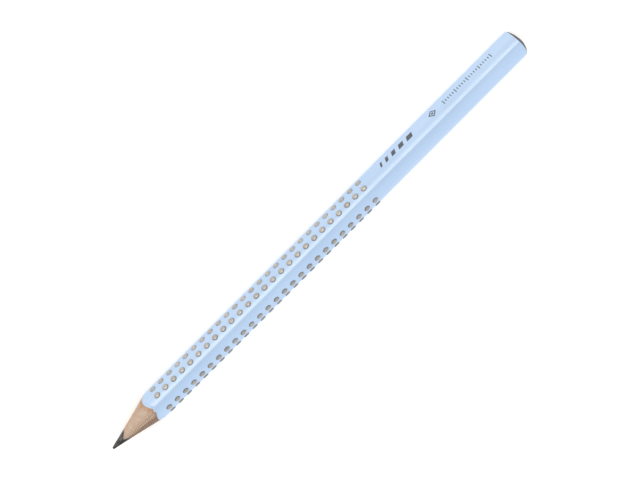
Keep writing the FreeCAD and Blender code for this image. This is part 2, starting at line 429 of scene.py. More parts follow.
LACQUER_DRIFT = (45.0, 160.0, 160.0)
LACQUER_SMEARS = (260.0, 420.0, 420.0)
LACQUER_WAVES = (500.0, 650.0, 650.0)
LACQUER_PEEL = (2600.0, 2600.0, 2600.0)
LACQUER_BLUES = ((0.440, 0.587, 0.795), (0.467, 0.613, 0.817))
LACQUER_CUT_BLUE = (0.44, 0.59, 0.80)
LACQUER_ROUGHNESS = (0.31, 0.36)
LACQUER_CUT_ROUGHER = 0.1
LACQUER_METALLIC = 0.4
LACQUER_SPECULAR = 0.1


def make_lacquer():
    """Light blue satin lacquer with a little pearl: a faint drift of colour, orange peel, a dull cut edge."""
    material, tree, shader = new_material("light_blue_lacquer")
    drift = noise_field(tree, LACQUER_DRIFT)
    blue = colour_mix(tree, spread(tree, drift, MOST_NOISE), *LACQUER_BLUES)
    cut = fact_field(tree, "cut")
    plug(tree, colour_mix(tree, cut, blue, LACQUER_CUT_BLUE), shader.inputs["Base Color"])
    smears = noise_field(tree, LACQUER_SMEARS, detail=5.0)
    satin = spread(tree, smears, MOST_NOISE, LACQUER_ROUGHNESS)
    dull = arithmetic(tree, "MULTIPLY", cut, LACQUER_CUT_ROUGHER)
    plug(tree, arithmetic(tree, "ADD", satin, dull), shader.inputs["Roughness"])
    waves = noise_field(tree, LACQUER_WAVES, detail=1.0)
    peel = noise_field(tree, LACQUER_PEEL, detail=2.0)
    wavy = bump(tree, shader, waves, strength=0.22, depth=0.05)
    bump(tree, shader, peel, strength=0.1, depth=0.008, under=wavy)
    shader.inputs["Metallic"].default_value = LACQUER_METALLIC
    shader.inputs["Specular IOR Level"].default_value = LACQUER_SPECULAR
    return material


# How each slat's wood differs: its noise sizes, and its colours by the ridge, further round on its side, in
# the growth lines and in the warm rim by the lacquer. The turn from the ridge's colour to the side's is
# painted shade on the left slat, darker round its side, and a painted lighter band partway round the right
# slat.
WOOD_LOOKS = {
    "right": {
        "patches": (160.0, 425.0, 420.0),
        "fibres": (130.0, 3100.0, 3105.0),
        "ridge": (0.49, 0.357, 0.272),
        "side": (0.54, 0.425, 0.335),
        "line": (0.31, 0.135, 0.06),
        "rim": (0.44, 0.23, 0.115),
    },
    "left": {
        "patches": (160.0, 424.0, 420.0),
        "fibres": (130.0, 3100.0, 3104.0),
        "ridge": (0.58, 0.425, 0.315),
        "side": (0.26, 0.182, 0.128),
        "line": (0.095, 0.056, 0.036),
        "rim": (0.28, 0.165, 0.10),
    },
}
DARK_FIBRE = (0.32, 0.23, 0.165)
PALE_FIBRE = (0.74, 0.58, 0.44)
GRAPHITE_DUST = (0.13, 0.11, 0.095)
STREAK_BROWN = (0.25, 0.16, 0.105)
WOOD_ROUGHNESS = (0.62, 0.8)
WOOD_SPECULAR = 0.15


def make_wood(side):
    """A slat's bare wood: growth lines, fibres, a warm rim by the lacquer, graphite dust, a dark streak and
    painted light and shade.
    """
    look = WOOD_LOOKS[side]
    material, tree, shader = new_material("wood_" + side)
    turn = arithmetic(tree, "MULTIPLY", fact_field(tree, "growth"), 2 * math.pi)
    late = spread(tree, arithmetic(tree, "SINE", turn), taken=(0.2, 0.95))
    patches = noise_field(tree, look["patches"], detail=4.0)
    patch = spread(tree, patches, taken=(0.36, 0.6), given=(0.35, 1.0))
    shown = arithmetic(tree, "MULTIPLY", patch, fact_field(tree, "marked"))
    lines = arithmetic(tree, "MULTIPLY", late, shown)
    # Painted light and shade round the slat: its colour turns from the ridge's towards the side's.
    with_painted_shading = colour_mix(tree, fact_field(tree, "shade"), look["ridge"], look["side"])
    grained = colour_mix(tree, lines, with_painted_shading, look["line"])
    fibres = noise_field(tree, look["fibres"], detail=5.0, rough=0.7)
    dark_fibres = spread(tree, fibres, taken=(0.48, 0.68), given=(0.0, 0.6))
    pale_fibres = spread(tree, fibres, taken=(0.32, 0.46), given=(0.5, 0.0))
    fibrous = colour_mix(tree, dark_fibres, grained, DARK_FIBRE)
    silky = colour_mix(tree, pale_fibres, fibrous, PALE_FIBRE)
    rim_waver = arithmetic(tree, "MULTIPLY", fact_field(tree, "near_coat"), patches)
    rim = spread(tree, rim_waver, taken=(0.12, 0.6), given=(0.0, 0.75))
    warm = colour_mix(tree, rim, silky, look["rim"])
    dust_waver = arithmetic(tree, "MULTIPLY", fact_field(tree, "near_lead"), fibres)
    dust = spread(tree, dust_waver, taken=(0.15, 0.75), given=(0.0, 0.6))
    dusty = colour_mix(tree, dust, warm, GRAPHITE_DUST)
    streaked = colour_mix(tree, fact_field(tree, "streak"), dusty, STREAK_BROWN)
    plug(tree, streaked, shader.inputs["Base Color"])
    plug(tree, spread(tree, fibres, MOST_NOISE, WOOD_ROUGHNESS), shader.inputs["Roughness"])
    ridges = bump(tree, shader, fibres, strength=0.5, depth=0.03)
    bump(tree, shader, lines, strength=0.35, depth=-0.02, under=ridges)
    shader.inputs["Specular IOR Level"].default_value = WOOD_SPECULAR
    return material


GRAPHITE_STREAKS = (210.0, 2900.0, 2900.0)
GRAPHITE_GRAINS = (5200.0, 5200.0, 5200.0)
GRAPHITE_GREYS = ((0.022, 0.022, 0.024), (0.15, 0.147, 0.147))
GRAPHITE_PAINTED_SHADE = (0.014, 0.014, 0.015)
# The colour of the painted shade on the lead's left-hand flank.
GRAPHITE_GLINT = (0.19, 0.19, 0.19)
GRAPHITE_ROUGHNESS = (0.36, 0.56)
GRAPHITE_METALLIC = 0.25
GRAPHITE_SPECULAR = 0.3


def make_graphite():
    """Ground graphite: fine grinding streaks along the point, darker and lighter, with a metallic sheen and
    painted shade on its left-hand flank.
    """
    material, tree, shader = new_material("graphite_lead")
    streaks = noise_field(tree, GRAPHITE_STREAKS, detail=5.0, rough=0.65)
    grains = noise_field(tree, GRAPHITE_GRAINS, detail=2.0)
    grey = colour_mix(tree, spread(tree, streaks, taken=(0.38, 0.62)), *GRAPHITE_GREYS)
    # Painted shade: the lead's left-hand flank is darkened.
    with_painted_flank_shade = colour_mix(tree, fact_field(tree, "polished"), grey, GRAPHITE_PAINTED_SHADE)
    glints = spread(tree, grains, taken=(0.62, 0.8), given=(0.0, 0.5))
    plug(tree, colour_mix(tree, glints, with_painted_flank_shade, GRAPHITE_GLINT), shader.inputs["Base Color"])
    rough = spread(tree, streaks, taken=(0.3, 0.75), given=GRAPHITE_ROUGHNESS)
    plug(tree, rough, shader.inputs["Roughness"])
    scored = bump(tree, shader, streaks, strength=0.6, depth=0.03)
    bump(tree, shader, grains, strength=0.25, depth=0.01, under=scored)
    shader.inputs["Metallic"].default_value = GRAPHITE_METALLIC
    shader.inputs["Specular IOR Level"].default_value = GRAPHITE_SPECULAR
    return material


GLUE_SPECKS = (700.0, 2400.0, 2400.0)
GLUE_BROWNS = ((0.38, 0.26, 0.18), (0.50, 0.36, 0.26))
GLUE_ROUGHNESS = (0.5, 0.7)


def make_glue():
    """A thin dry film of pale brown glue, uneven in colour."""
    material, tree, shader = new_material("dry_glue_film")
    specks = noise_field(tree, GLUE_SPECKS, detail=4.0)
    brown = colour_mix(tree, spread(tree, specks, taken=(0.35, 0.65)), *GLUE_BROWNS)
    plug(tree, brown, shader.inputs["Base Color"])
    plug(tree, spread(tree, specks, MOST_NOISE, GLUE_ROUGHNESS), shader.inputs["Roughness"])
    bump(tree, shader, specks, strength=0.3, depth=0.02)
    return material


DIP_RUNS = (240.0, 420.0, 420.0)
DIP_DUST = (3600.0, 3600.0, 3600.0)
DIP_BROWNS = ((0.026, 0.022, 0.019), (0.044, 0.037, 0.031))
DIP_DUST_GREY = (0.20, 0.19, 0.18)
DIP_ROUGHNESS = (0.28, 0.42)
DIP_SPECULAR = 0.18


def make_dip_paint():
    """Thick dark brown-grey paint, semi-gloss, with faint runs and dust."""
    material, tree, shader = new_material("dark_dip_paint")
    runs = noise_field(tree, DIP_RUNS)
    dust = noise_field(tree, DIP_DUST, detail=1.0)
    brown = colour_mix(tree, spread(tree, runs, MOST_NOISE), *DIP_BROWNS)
    specks = spread(tree, dust, taken=(0.7, 0.8), given=(0.0, 0.3))
    plug(tree, colour_mix(tree, specks, brown, DIP_DUST_GREY), shader.inputs["Base Color"])
    plug(tree, spread(tree, runs, MOST_NOISE, DIP_ROUGHNESS), shader.inputs["Roughness"])
    bump(tree, shader, runs, strength=0.3, depth=0.06)
    shader.inputs["Specular IOR Level"].default_value = DIP_SPECULAR
    return material


FOIL_WEAR = (1500.0, 1500.0, 1500.0)
FOIL_PINHOLES = (5200.0, 5200.0, 5200.0)
FOIL_GREYS = ((0.052, 0.058, 0.070), (0.10, 0.11, 0.13))
FOIL_PINHOLE_BLUE = (0.40, 0.54, 0.76)
FOIL_ROUGHNESS = (0.42, 0.6)


def make_foil():
    """Dark stamped pigment foil: matt, slightly worn, with tiny pinholes that show as lighter specks."""
    material, tree, shader = new_material("dark_stamped_foil")
    wear = noise_field(tree, FOIL_WEAR, detail=4.0)
    pinholes = noise_field(tree, FOIL_PINHOLES, detail=1.0)
    grey = colour_mix(tree, spread(tree, wear, taken=(0.35, 0.7)), *FOIL_GREYS)
    holes = spread(tree, pinholes, taken=(0.72, 0.8), given=(0.0, 0.6))
    plug(tree, colour_mix(tree, holes, grey, FOIL_PINHOLE_BLUE), shader.inputs["Base Color"])
    plug(tree, spread(tree, wear, MOST_NOISE, FOIL_ROUGHNESS), shader.inputs["Roughness"])
    bump(tree, shader, wear, strength=0.2, depth=0.01)
    return material


GRIP_GRAIN = (3300.0, 3300.0, 3300.0)
# The pale colour is each dot's painted highlight.
GRIP_HIGHLIGHT_PALE = (0.665, 0.655, 0.635)
GRIP_GREY = (0.425, 0.412, 0.385)
GRIP_EDGE_GREY = (0.22, 0.20, 0.17)
# The darkest grey: thick print, and painted shade on the dots of some faces.
GRIP_DENSE_GREY = (0.165, 0.15, 0.13)
GRIP_ROUGHNESS = (0.36, 0.5)
GRIP_SPECULAR = 0.3


def make_dot_paint():
    """Soft-touch paint: darker grey round each dot's edge, a painted highlight as a pale spot off its middle,
    and painted shade on some faces' dots.
    """
    material, tree, shader = new_material("soft_grip_paint")
    grain = noise_field(tree, GRIP_GRAIN)
    waver = spread(tree, grain, MOST_NOISE, given=(-0.1, 0.1))
    # Painted highlight: a pale spot off each dot's middle, where the dark edge is also painted lighter.
    off_spot = arithmetic(tree, "ADD", fact_field(tree, "off_spot"), waver)
    off_middle = arithmetic(tree, "ADD", fact_field(tree, "rim"), waver)
    inner = colour_mix(tree, spread(tree, off_spot, taken=(0.1, 0.6)), GRIP_HIGHLIGHT_PALE, GRIP_GREY)
    edged = colour_mix(tree, spread(tree, off_middle, taken=(0.65, 0.95)), inner, GRIP_EDGE_GREY)
    # Darker where the print is denser, and painted shade on some faces' dots.
    dense_and_shaded = colour_mix(tree, fact_field(tree, "batch"), edged, GRIP_DENSE_GREY)
    plug(tree, dense_and_shaded, shader.inputs["Base Color"])
    plug(tree, spread(tree, grain, MOST_NOISE, GRIP_ROUGHNESS), shader.inputs["Roughness"])
    bump(tree, shader, grain, strength=0.25, depth=0.02)
    shader.inputs["Specular IOR Level"].default_value = GRIP_SPECULAR
    return material


FLOOR_MOTTLE = (9.0, 9.0, 9.0)
FLOOR_WHITES = ((0.90, 0.90, 0.90), (0.915, 0.915, 0.915))
FLOOR_GLOW = 0.25
FLOOR_ROUGHNESS = 0.9
FLOOR_SPECULAR = 0.1
WHITE = (1.0, 1.0, 1.0, OPAQUE)


def make_floor_paint():
    """A plain pale studio floor, with the faintest mottling and a little light of its own."""
    material, tree, shader = new_material("pale_floor")
    mottle = noise_field(tree, FLOOR_MOTTLE, detail=2.0)
    pale = colour_mix(tree, spread(tree, mottle, MOST_NOISE), *FLOOR_WHITES)
    plug(tree, pale, shader.inputs["Base Color"])
    shader.inputs["Emission Color"].default_value = WHITE
    shader.inputs["Emission Strength"].default_value = FLOOR_GLOW
    shader.inputs["Roughness"].default_value = FLOOR_ROUGHNESS
    shader.inputs["Specular IOR Level"].default_value = FLOOR_SPECULAR
    return material


# ---------------------------------------------------------------- pieces

COAT_COLUMNS = 216
COAT_ROWS = 90
COAT_ROW_CROWDING = 1.5
LIP_ROWS = 4
RIM_ROWS = 6
CHIP_DEPTH = 0.05
CHIP_SIZE = 0.7


def lacquer_coat():
    """The blue skin: outside, round rim, inner skin, and the cut edge with its small worn lip."""
    angle = around(COAT_COLUMNS)
    outer = where_ground(barrel_radius(angle), angle)
    inner = where_ground(barrel_radius(angle, LACQUER_THICKNESS), angle)
    edge_points = in_space(outer, angle, barrel_radius(angle))
    chips = CHIP_DEPTH * np.maximum(roughness_at(edge_points, CHIP_SIZE, SEED), 0.0)
    # Each row has its distance from the tip, how far it is inside the barrel's outline, and how worn it is.
    profile = []
    for turn in np.linspace(0.0, math.pi / 2, LIP_ROWS):
        inset = LIP_ROUND * (1.0 - math.sin(turn))
        shift = LIP_ROUND * (1.0 - math.cos(turn))
        edge = where_ground(barrel_radius(angle, inset), angle)
        profile.append((edge + chips + shift, inset, math.cos(turn)))
    start = outer + chips + LIP_ROUND
    for share in crowded_shares(COAT_ROWS, COAT_ROW_CROWDING)[1:]:
        profile.append((start + (RIM_FROM_TIP - RIM_ROUND - start) * share, 0.0, 0.0))
    for turn in np.linspace(0.0, math.pi / 2, RIM_ROWS)[1:]:
        from_tip = RIM_FROM_TIP - RIM_ROUND * (1.0 - math.sin(turn))
        profile.append((from_tip, RIM_ROUND * (1.0 - math.cos(turn)), 0.0))
    profile += [(RIM_FROM_TIP, LACQUER_THICKNESS, 0.0), (inner, LACQUER_THICKNESS, 1.0)]
    rows = [in_space(from_tip, angle, barrel_radius(angle, inset)) for from_tip, inset, _ in profile]
    cut = [np.full(COAT_COLUMNS, worn) for _, _, worn in profile]
    new_piece(
        "lacquer_skin", [np.array(rows)], make_lacquer(), "lacquer_coat",
        joined=True, facts={"cut": [np.array(cut)]})


WOOD_COLUMNS = 121
WOOD_ROWS = 150
HIDDEN_ROWS = 2

# The side of the joint that each slat is on.
SLAT_SIGNS = {"right": 1, "left": -1}

# The growth lines are sunk by this much. At each end of the point the relief fades out over its length
# divided by this number.
RELIEF_DEPTH = 0.02
RELIEF_FADE = 12.0

# How far from the lacquer the warm rim reaches, and how far from the lead the graphite dust does.
COAT_RIM_REACH = 2.6
LEAD_DUST_REACH = 1.6

# A dark streak beside the joint: how far from it, how wide to each side, the share of the point's length over
# which it fades in from the lead, and how strong it is in each slat.
STREAK_FROM_JOINT = 0.42
STREAK_REACH = 0.17
STREAK_FADE = 0.5
STREAK_STRENGTH = {"right": 0.0, "left": 1.0}

# Growth rings of each slat: a point on the tree's pith (from the tip, to the right, over the axis), the
# pith's direction, a scale along the pencil that draws the rings out if it is under 1, how far apart they are
# and the seed of their drift.
GROWTH = {
    "right": {
        "pith_at": (15.6, 0.9, 0.0),
        "pith_way": (0.0, 0.35, 0.94),
        "scale_along": 0.75,
        "spacing": 0.62,
        "seed": SEED + 5,
    },
    "left": {
        "pith_at": (-90.0, 42.0, -10.0),
        "pith_way": (0.0, 0.2, 1.0),
        "scale_along": 1.0,
        "spacing": 0.66,
        "seed": SEED + 4,
    },
}

# The rings drift and waver by so many rings, in features of such a size.
RING_DRIFT = 0.3
RING_DRIFT_SIZE = 3.0
RING_WAVER = 0.25
RING_WAVER_SIZE = 0.9

# How strongly the right slat's growth lines show by the lead, and how much more they do by the lacquer.
RIGHT_LINES_BY_LEAD = 0.2
RIGHT_LINES_BY_COAT = 1.1

# The left slat's growth lines show more with the distance from the ridge, from a faintest strength that they
# keep at the ridge, and they are weaker by the lead.
LEFT_LINES_RISE = 2.2
LEFT_LINES_DROP = 0.1
LEFT_LINES_FAINTEST = 0.05
LEFT_LINES_BY_LEAD = 0.6

# The left slat's painted shade turns it from its ridge's colour to its side's: where the change starts, and
# how far it goes on.
LEFT_PAINTED_SHADE_START = 0.2
LEFT_PAINTED_SHADE_SPAN = 0.3


def growth_lines(points, side):
    """How many growth rings lie inside each point of a slat: a count that wavers a little."""
    growth = GROWTH[side]
    from_tip, to_right, up = growth["pith_at"]
    pith = np.array(growth["pith_way"]) / np.linalg.norm(growth["pith_way"])
    off = points - np.array((X_TIP + from_tip, to_right, AXIS_HEIGHT + up))
    off = off * np.array((growth["scale_along"], 1.0, 1.0))
    off = off - (off @ pith)[..., None] * pith
    drift = RING_DRIFT * roughness_at(points, RING_DRIFT_SIZE, growth["seed"])
    waver = RING_WAVER * roughness_at(points, RING_WAVER_SIZE, SEED)
    return np.linalg.norm(off, axis=-1) / growth["spacing"] + (drift + waver)


def grain_shown(side, outward, near_coat, share):
    """How strongly the growth lines show: most by the lacquer on the right slat, low down on the left one."""
    if side == "right":
        return RIGHT_LINES_BY_LEAD + RIGHT_LINES_BY_COAT * near_coat
    below_ridge = np.clip(LEFT_LINES_RISE * outward - LEFT_LINES_DROP, LEFT_LINES_FAINTEST, 1.0)
    return below_ridge * (LEFT_LINES_BY_LEAD + (1.0 - LEFT_LINES_BY_LEAD) * share)


def painted_side_shading(side, outward):
    """Painted light and shade: how far a slat's colour has gone from its ridge's to its side's, and on the
    right slat back again. It is painted shade on the left slat and a painted lighter band on the right one.
    """
    if side == "right":
        return 4.0 * outward * (1.0 - outward)
    return np.clip((outward - LEFT_PAINTED_SHADE_START) / LEFT_PAINTED_SHADE_SPAN, 0.0, 1.0)


def slat_facts(side, ground, growth, share, past_lead, before_coat):
    """What the wood's material reads at each point of a slat's ground surface."""
    near_coat = np.clip(1.0 - before_coat / COAT_RIM_REACH, 0.0, 1.0)
    beside = np.abs(ground[..., 1])
    outward = beside / np.hypot(ground[..., 1], ground[..., 2] - AXIS_HEIGHT)
    across_streak = np.clip(1.0 - np.abs(beside - STREAK_FROM_JOINT) / STREAK_REACH, 0.0, 1.0)
    along_streak = np.clip(share / STREAK_FADE, 0.0, 1.0)
    return {
        "growth": growth,
        "near_coat": near_coat,
        "near_lead": np.clip(1.0 - past_lead / LEAD_DUST_REACH, 0.0, 1.0),
        "streak": across_streak * along_streak * STREAK_STRENGTH[side],
        # Painted light and shade round the slat.
        "shade": painted_side_shading(side, outward),
        "marked": grain_shown(side, outward, near_coat, share),
    }


def growth_relief(growth, share):
    """How far the ground wood is sunk in its growth lines."""
    fade = np.minimum(np.minimum(share, 1.0 - share) * RELIEF_FADE, 1.0)
    return RELIEF_DEPTH * fade * np.clip(np.sin(2 * math.pi * growth), 0.0, 1.0)


def closed_slat(sign, outside, inside):
    """Joins the outside of a slat and its groove into closed loops, and cuts them flat at the joint."""
    loops = np.concatenate([outside, inside[:, ::-1]], axis=1)
    folded = np.concatenate([inside[-1:], inside[-1:, ::-1]], axis=1)
    loops = np.concatenate([loops, folded])
    loops[..., 1] = sign * np.maximum(sign * loops[..., 1], GLUE_THICKNESS / 2)
    return loops


def wood_slat(side):
    """One slat: ground outside with sunk growth lines, hidden outside, groove, flat joint and end."""
    sign = SLAT_SIGNS[side]
    angle = sign * np.linspace(DOWNWARDS, UPWARDS, WOOD_COLUMNS) + (0.0 if sign > 0 else 180.0)
    groove = lead_outline(angle)
    under_coat = barrel_radius(angle, LACQUER_THICKNESS)
    start = where_ground(groove, angle)
    finish = where_ground(under_coat, angle)
    share = np.linspace(0.0, 1.0, WOOD_ROWS)[:, None]
    from_tip = start + (finish - start) * share
    flank = flank_radius(from_tip, angle)
    growth = growth_lines(in_space(from_tip, angle, flank), side)
    ground = in_space(from_tip, angle, flank - growth_relief(growth, share))
    outside = np.concatenate([ground, in_space(RIM_FROM_TIP, angle, under_coat)[None]])
    groove_from_tip = np.concatenate([from_tip, np.full((1, WOOD_COLUMNS), RIM_FROM_TIP)])
    loops = closed_slat(sign, outside, in_space(groove_from_tip, angle, groove))
    facts = {}
    for fact, values in slat_facts(side, ground, growth, share, from_tip - start, finish - from_tip).items():
        outer_values = np.concatenate([values, np.repeat(values[-1:], HIDDEN_ROWS, axis=0)])
        facts[fact] = [np.concatenate([outer_values, outer_values[:, ::-1]], axis=1)]
    new_piece("wood_slat_" + side, [loops], make_wood(side), "slat_" + side, facts=facts)


LEAD_COLUMNS = 144
LEAD_ROWS = 60
LEAD_ROW_CROWDING = 1.6

# Fine scores along the ground lead: how deep and how wide they are, a scale along the pencil that draws them
# out, and the share of the ground length over which they fade out by the wood.
SCORE_DEPTH = 0.012
SCORE_SIZE = 0.22
SCORE_SCALE_ALONG = 0.08
SCORE_FADE = 1 / 8

# How dark the painted shade on the lead's left-hand side is, and how far from the middle the change is done.
PAINTED_FLANK_SHADE_STRENGTH = 0.85
PAINTED_FLANK_SHADE_FADE = 0.15


def lead():
    """The graphite core: blunt tip, ground flanks, then the hidden round rod."""
    angle = around(LEAD_COLUMNS)
    rod = lead_outline(angle)
    finish = where_ground(rod, angle)
    share = crowded_shares(LEAD_ROWS, LEAD_ROW_CROWDING)[:, None]
    from_tip = finish * share
    blunt = np.sqrt(np.maximum(TIP_ROUND_RADIUS ** 2 - (TIP_ROUND_RADIUS - from_tip) ** 2, 0.0))
    blunt = np.where(from_tip < TIP_ROUND_RADIUS, blunt, OUTSIDE)
    radius = np.minimum(blunt, flank_radius(from_tip, angle))
    scores = roughness_at(in_space(from_tip * SCORE_SCALE_ALONG, angle, radius), SCORE_SIZE, SEED)
    fade = np.minimum((1.0 - share) / SCORE_FADE, 1.0)
    radius = np.maximum(radius - SCORE_DEPTH * np.abs(scores) * fade, 0.0)
    ground = in_space(from_tip, angle, np.minimum(radius, rod))
    rear = in_space(RIM_FROM_TIP, angle, rod)[None]
    centre = in_space(RIM_FROM_TIP, DOWNWARDS, LEAD_BELOW_AXIS)
    closing = np.repeat(centre[None, None], LEAD_COLUMNS, axis=1)
    rows = np.concatenate([ground, rear, closing])
    # Painted shade, darker on the lead's left-hand flank.
    polished = PAINTED_FLANK_SHADE_STRENGTH * (1.0 - np.clip(rows[..., 1] / PAINTED_FLANK_SHADE_FADE, -1.0, 1.0)) / 2
    new_piece("graphite_core", [rows], make_graphite(), "lead", facts={"polished": [polished]})


GLUE_ROWS = 60
GLUE_RECESS = 0.03


def glue_film():
    """The two strips of glue between the slats, over and under the lead, slightly sunk between them."""
    lofts = []
    for angle in (UPWARDS, DOWNWARDS):
        outer_end = barrel_radius(angle, LACQUER_THICKNESS)
        inner = lead_outline(angle)
        start = where_ground(inner, angle)
        finish = where_ground(outer_end, angle)
        from_tip = np.concatenate([np.linspace(start, finish, GLUE_ROWS), [RIM_FROM_TIP]])
        outer = np.concatenate([flank_radius(from_tip[:-1], angle), [outer_end]])
        outer = np.maximum(outer - GLUE_RECESS, inner)
        up = math.copysign(1.0, angle)
        rows = []
        for x, reach in zip(from_tip, outer):
            half = GLUE_THICKNESS / 2
            high = max(reach - GLUE_RECESS / 2, inner)
            loop = ((-half, inner), (-half, reach), (0.0, high), (half, reach), (half, inner))
            rows.append([(X_TIP + x, y, AXIS_HEIGHT + up * z) for y, z in loop])
        folded = [(x, y, AXIS_HEIGHT + up * inner) for x, y, _ in rows[-1]]
        lofts.append(np.array(rows + [folded]))
    new_piece("glue_film", lofts, make_glue(), "glue_line")


DIP_COLUMNS = 180
DIP_ROWS = 30
DIP_ROW_CROWDING = 0.8
DIP_FOOT_ROUND = 0.06
DIP_WAVES = 0.03
DIP_WAVE_SIZE = 2.5


def dipped_end():
    """The domed end: thick dark paint with a small round foot on the rim and slightly uneven top."""
    angle = around(DIP_COLUMNS)
    foot = barrel_radius(angle, DIP_INSET)
    dome = CAD_BOX[1].x / MM - X_RIM
    rows = [in_space(RIM_FROM_TIP, angle, 0.0), in_space(RIM_FROM_TIP, angle, foot - DIP_FOOT_ROUND)]
    for share in crowded_shares(DIP_ROWS, DIP_ROW_CROWDING):
        scale = math.cos(share * math.pi / 2)
        height = dome * (1.0 - scale ** 2) ** DIP_FULLNESS
        pinch = DIP_FOOT_ROUND * max(0.0, 1.0 - height / DIP_FOOT_ROUND) ** 2
        row = in_space(RIM_FROM_TIP + height, angle, np.maximum(foot * scale - pinch, 0.0))
        settle = DIP_WAVES * share * (1.0 + roughness_at(row, DIP_WAVE_SIZE, SEED)) / 2
        row[..., 0] -= settle if scale > DIP_TOP_SCALE else settle.mean()
        rows.append(row)
    new_piece("dipped_end", [np.array(rows)], make_dip_paint(), "end_dip")


DOT_COLUMNS = 28
DOT_SINK = 0.04

# A dot's section from its middle to its foot: share of its radius, share of its height. The foot is sunk into
# the face, where two more rows close it.
DOT_SECTION = (
    (0.0, 0.89), (0.16, 0.90), (0.32, 0.915), (0.46, 0.90), (0.58, 0.855), (0.68, 0.80), (0.77, 0.74),
    (0.84, 0.67), (0.90, 0.57), (0.94, 0.44), (0.965, 0.30), (0.98, 0.15), (1.0, 0.0),
)

# How dark each face's dots are painted, from 0 for thin paint to 1 for thick: the amount for each face is
# painted shade, most on the left face and some on the under face, and the spread varies the print's density
# at random.
# Then how much smaller or lower a dot can be, how far off its place, and the waves in its outline.
DOT_SHADE_BY_FACE = {"right": 0.0, "left": 0.25, "under": 0.1}
DOT_DENSITY_SPREAD = 0.25
DOT_SIZE_SPREAD = 0.035
DOT_PLACE_SPREAD = 0.035
DOT_EDGE_WAVES = 0.012
DOT_EDGE_LOBES = 3

# The painted highlight of a dot, a pale spot: the share of the radius that it is off the middle, and the side
# that it is on (1 towards larger angles, -1 towards smaller ones). Each row has how far its painted
# highlights have faded, and how much of the dark edge is painted lighter beside them.
HIGHLIGHT_OFF_MIDDLE = 0.5
HIGHLIGHT_SIDE = {"right": 1, "left": -1, "under": 1}
HIGHLIGHT_FADE = {
    "right_upper": 0.05, "right_lower": 0.25,
    "left_upper": 0.3, "left_lower": 0.3,
    "under_right": 0.1, "under_left": 0.1,
}
EDGE_LIGHTENED_BY_HIGHLIGHT = {
    "right_upper": 0.0, "right_lower": 0.3,
    "left_upper": 0.0, "left_lower": 0.0,
    "under_right": 0.0, "under_left": 0.3,
}


def dot_loft(face, along, across, dice):
    """A raised dot at a place on a face. Chance changes its size, height, place and outline a little."""
    size = DOT_RADIUS * (1.0 - DOT_SIZE_SPREAD * dice.random())
    tall = DOT_HEIGHT * (1.0 - DOT_SIZE_SPREAD * dice.random())
    along += DOT_PLACE_SPREAD * dice.uniform(-1.0, 1.0)
    across += DOT_PLACE_SPREAD * dice.uniform(-1.0, 1.0)
    phase = dice.uniform(0.0, 2 * math.pi)
    turn = np.radians(around(DOT_COLUMNS))
    outline = size * (1.0 - DOT_EDGE_WAVES * (1.0 + np.sin(DOT_EDGE_LOBES * turn + phase)) / 2)
    section = [(reach, tall * rise) for reach, rise in DOT_SECTION] + [(1.0, -DOT_SINK), (0.0, -DOT_SINK)]
    rows = []
    for reach, height in section:
        from_tip = along + outline * reach * np.cos(turn)
        rows.append(on_face(face, from_tip, across + outline * reach * np.sin(turn), height))
    return np.array(rows)


def dot_print(row_name):
    """What the paint reads at each point of a dot: how far it is from the dot's middle and from its painted
    highlight, a pale spot, with the dark edge painted lighter on the highlight's side.
    """
    face, _ = DOT_ROWS[row_name]
    turn = np.radians(around(DOT_COLUMNS))
    off_middle = np.array([reach for reach, _ in DOT_SECTION] + [1.0, 1.0])[:, None]
    # Painted highlight: on its side the dark edge is painted lighter, and the pale spot lies off the middle.
    on_highlight_side = np.maximum(HIGHLIGHT_SIDE[face] * np.sin(turn), 0.0)
    rim = off_middle - EDGE_LIGHTENED_BY_HIGHLIGHT[row_name] * on_highlight_side
    beside_highlight = off_middle * np.sin(turn) - HIGHLIGHT_OFF_MIDDLE * HIGHLIGHT_SIDE[face]
    return rim, np.hypot(off_middle * np.cos(turn), beside_highlight) + HIGHLIGHT_FADE[row_name]


def grip_dots(row_name, group, material, dice):
    """One group of a row of raised dots, each a little different from the next."""
    face, side = DOT_ROWS[row_name]
    node_name = "_".join(("grip_dots", row_name, group))
    low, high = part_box(node_name)
    first = (low.x + high.x) / 2 / MM - X_TIP - (DOTS_PER_GROUP - 1) / 2 * DOT_PITCH
    across = side * FACE_RADIUS * DOT_ROW_TILT
    rim, off_spot = dot_print(row_name)
    lofts = []
    densities_and_shade = []
    for index in range(DOTS_PER_GROUP):
        lofts.append(dot_loft(face, first + index * DOT_PITCH, across, dice))
        # Painted shade for the dot's face, and a random print density.
        print_and_shade = DOT_SHADE_BY_FACE[face] + DOT_DENSITY_SPREAD * dice.random()
        densities_and_shade.append(np.full(rim.shape, print_and_shade))
    new_piece(
        "dots_" + row_name + "_" + group, lofts, material, node_name,
        facts={"rim": [rim] * DOTS_PER_GROUP, "off_spot": [off_spot] * DOTS_PER_GROUP, "batch": densities_and_shade})


# How finely the marks are divided, along the pencil and across it.
BAR_ROWS = 4
BAR_COLUMNS = 10
FRAME_SIDE_ROWS = 10
DIAMOND_SPOT_ROWS = 13
DIAMOND_SPOT_COLUMNS = 7


def mark_slab(grid):
    """A thin closed slab on the right-hand face, over a grid of places along and across it."""
    from_tip, across = grid[..., 0], grid[..., 1]
    top = on_face("right", from_tip, across, FOIL_HEIGHT)
    bottom = on_face("right", from_tip, across, -FOIL_DEPTH)
    loops = np.concatenate([top, bottom[:, ::-1]], axis=1)
    folded = np.concatenate([bottom, bottom[:, ::-1]], axis=1)
    return np.concatenate([folded[:1], loops, folded[-1:]])


